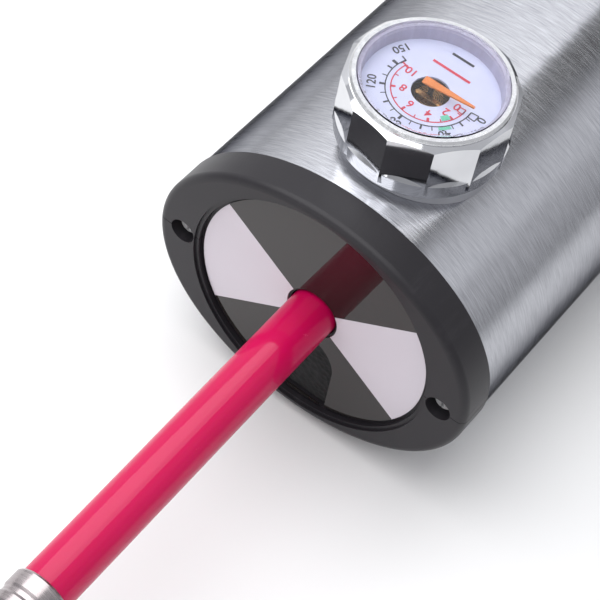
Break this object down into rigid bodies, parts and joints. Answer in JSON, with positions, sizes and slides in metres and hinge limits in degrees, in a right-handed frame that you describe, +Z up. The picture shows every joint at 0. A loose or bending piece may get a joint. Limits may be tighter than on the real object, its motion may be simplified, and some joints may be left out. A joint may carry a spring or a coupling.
{
  "type": "portable air pump",
  "caption": "Hand-held 12 V tyre and air pump with an oval brushed steel tube, black end caps, a pressure gauge on top and a short air hose with a screw-on connector.",
  "frame": {"origin": "centre of the pump's footprint on the surface it stands on, without the hose and its fittings", "axes": "+Z up towards the gauge, -Y out of the front cap towards the hose, +X across the body"},
  "size_m": [0.0638, 0.2815, 0.0671],
  "materials": {
    "brushed_tube": "brushed round the tube",
    "black_shell": "satin moulded",
    "black_inner": "moulded",
    "label_print": "glossy laminated label",
    "filter_foam": "open foam",
    "black_rubber": "matte",
    "red_hose": "glossy",
    "crimped_steel": "turned and crimped",
    "brass_fitting": "turned",
    "chrome_plate": "polished plate",
    "clear_crystal": "polished",
    "dial_print": "printed",
    "pointer_paint": "satin orange",
    "cast_alloy": "as cast",
    "turned_alloy": "turned",
    "zinc_screw": "zinc plated",
    "motor_steel": "passivated",
    "magnet_ferrite": "sintered",
    "core_steel": "stacked laminations",
    "copper_winding": "enamelled copper",
    "gear_nylon": "nylon",
    "seal_ptfe": "filled PTFE"
  },
  "bodies": {
    "pump_body": {"body_tube": "brushed_tube", "front_foot": "black_rubber", "rear_foot": "black_rubber", "front_cap_upper": "black_shell", "front_cap_lower": "black_shell", "rear_cap_upper": "black_shell", "rear_cap_lower": "black_shell", "front_cap_screws": "zinc_screw", "rear_cap_screws": "zinc_screw", "label_disc": "label_print", "intake_filter": "filter_foam", "hose_grommet": "black_rubber", "front_bulkhead": "black_inner", "rear_bulkhead": "black_inner", "cylinder_head": "cast_alloy", "valve_plate": "motor_steel", "valve_reeds": "motor_steel", "pump_cylinder": "turned_alloy", "head_screws": "zinc_screw", "crank_bearing": "brass_fitting", "gear_chassis": "cast_alloy", "motor_can": "motor_steel", "motor_screws": "zinc_screw", "motor_bushes": "brass_fitting", "motor_magnets": "magnet_ferrite", "motor_brushes": "magnet_ferrite", "motor_end_bell": "black_inner", "gauge_housing": "chrome_plate", "gauge_gasket": "black_rubber", "gauge_bezel": "chrome_plate", "gauge_crystal": "clear_crystal", "gauge_dial": "dial_print", "gauge_movement": "brass_fitting", "bourdon_tube": "brass_fitting", "gauge_stem": "brass_fitting", "gauge_nut": "brass_fitting", "air_hose": "red_hose", "hose_barb": "brass_fitting", "hose_ferrule": "crimped_steel", "chuck_stem": "brass_fitting", "lead_gland": "black_rubber", "switch_body": "black_inner", "switch_terminals": "brass_fitting"},
    "armature": {"armature_shaft": "motor_steel", "armature_core": "core_steel", "armature_windings": "copper_winding", "commutator": "copper_winding", "motor_pinion": "brass_fitting"},
    "crank": {"crank_gear": "gear_nylon", "crank_shaft": "motor_steel", "crank_pin": "motor_steel"},
    "piston": {"piston": "turned_alloy", "piston_seal": "seal_ptfe", "wrist_pin": "motor_steel"},
    "rod": {"connecting_rod": "cast_alloy", "big_end_bush": "brass_fitting"},
    "needle": {"gauge_pointer": "pointer_paint"},
    "rocker": {"switch_rocker": "black_inner"},
    "connector": {"chuck_nut": "brass_fitting", "chuck_seal": "black_rubber"}
  },
  "joints": [
    {"name": "armature_spin", "type": "hinge", "parent": "pump_body", "child": "armature", "pos_m": [0, 0.035, 0.0276], "axis": [0, 1, 0], "continuous": true},
    {"name": "crank_spin", "type": "hinge", "parent": "pump_body", "child": "crank", "pos_m": [0, -0.0119, 0.0276], "axis": [1, 0, 0], "continuous": true},
    {"name": "piston_slide", "type": "slide", "parent": "pump_body", "child": "piston", "axis": [0, 1, 0], "range_m": [0, 0.012]},
    {"name": "rod_swing", "type": "hinge", "parent": "piston", "child": "rod", "pos_m": [0, -0.0519, 0.0276], "axis": [1, 0, 0], "range_deg": [-10.2, 10.2]},
    {"name": "needle_turn", "type": "hinge", "parent": "pump_body", "child": "needle", "pos_m": [0, -0.0652, 0.0634], "axis": [0, 0, 1], "range_deg": [-196, 0], "stiffness_Nm_per_rad": 0.00002, "springref_deg": 11.46},
    {"name": "rocker_tilt", "type": "hinge", "parent": "pump_body", "child": "rocker", "pos_m": [0, 0.0848, 0.0372], "axis": [0, 0, 1], "range_deg": [-16, 0]},
    {"name": "connector_spin", "type": "hinge", "parent": "pump_body", "child": "connector", "pos_m": [0, -0.18151, 0.02355], "axis": [0, -0.999, -0.0436], "continuous": true}
  ],
  "couplings": [
    {"joint": "crank_spin", "follows": "armature_spin", "ratio": 0.25}
  ]
}
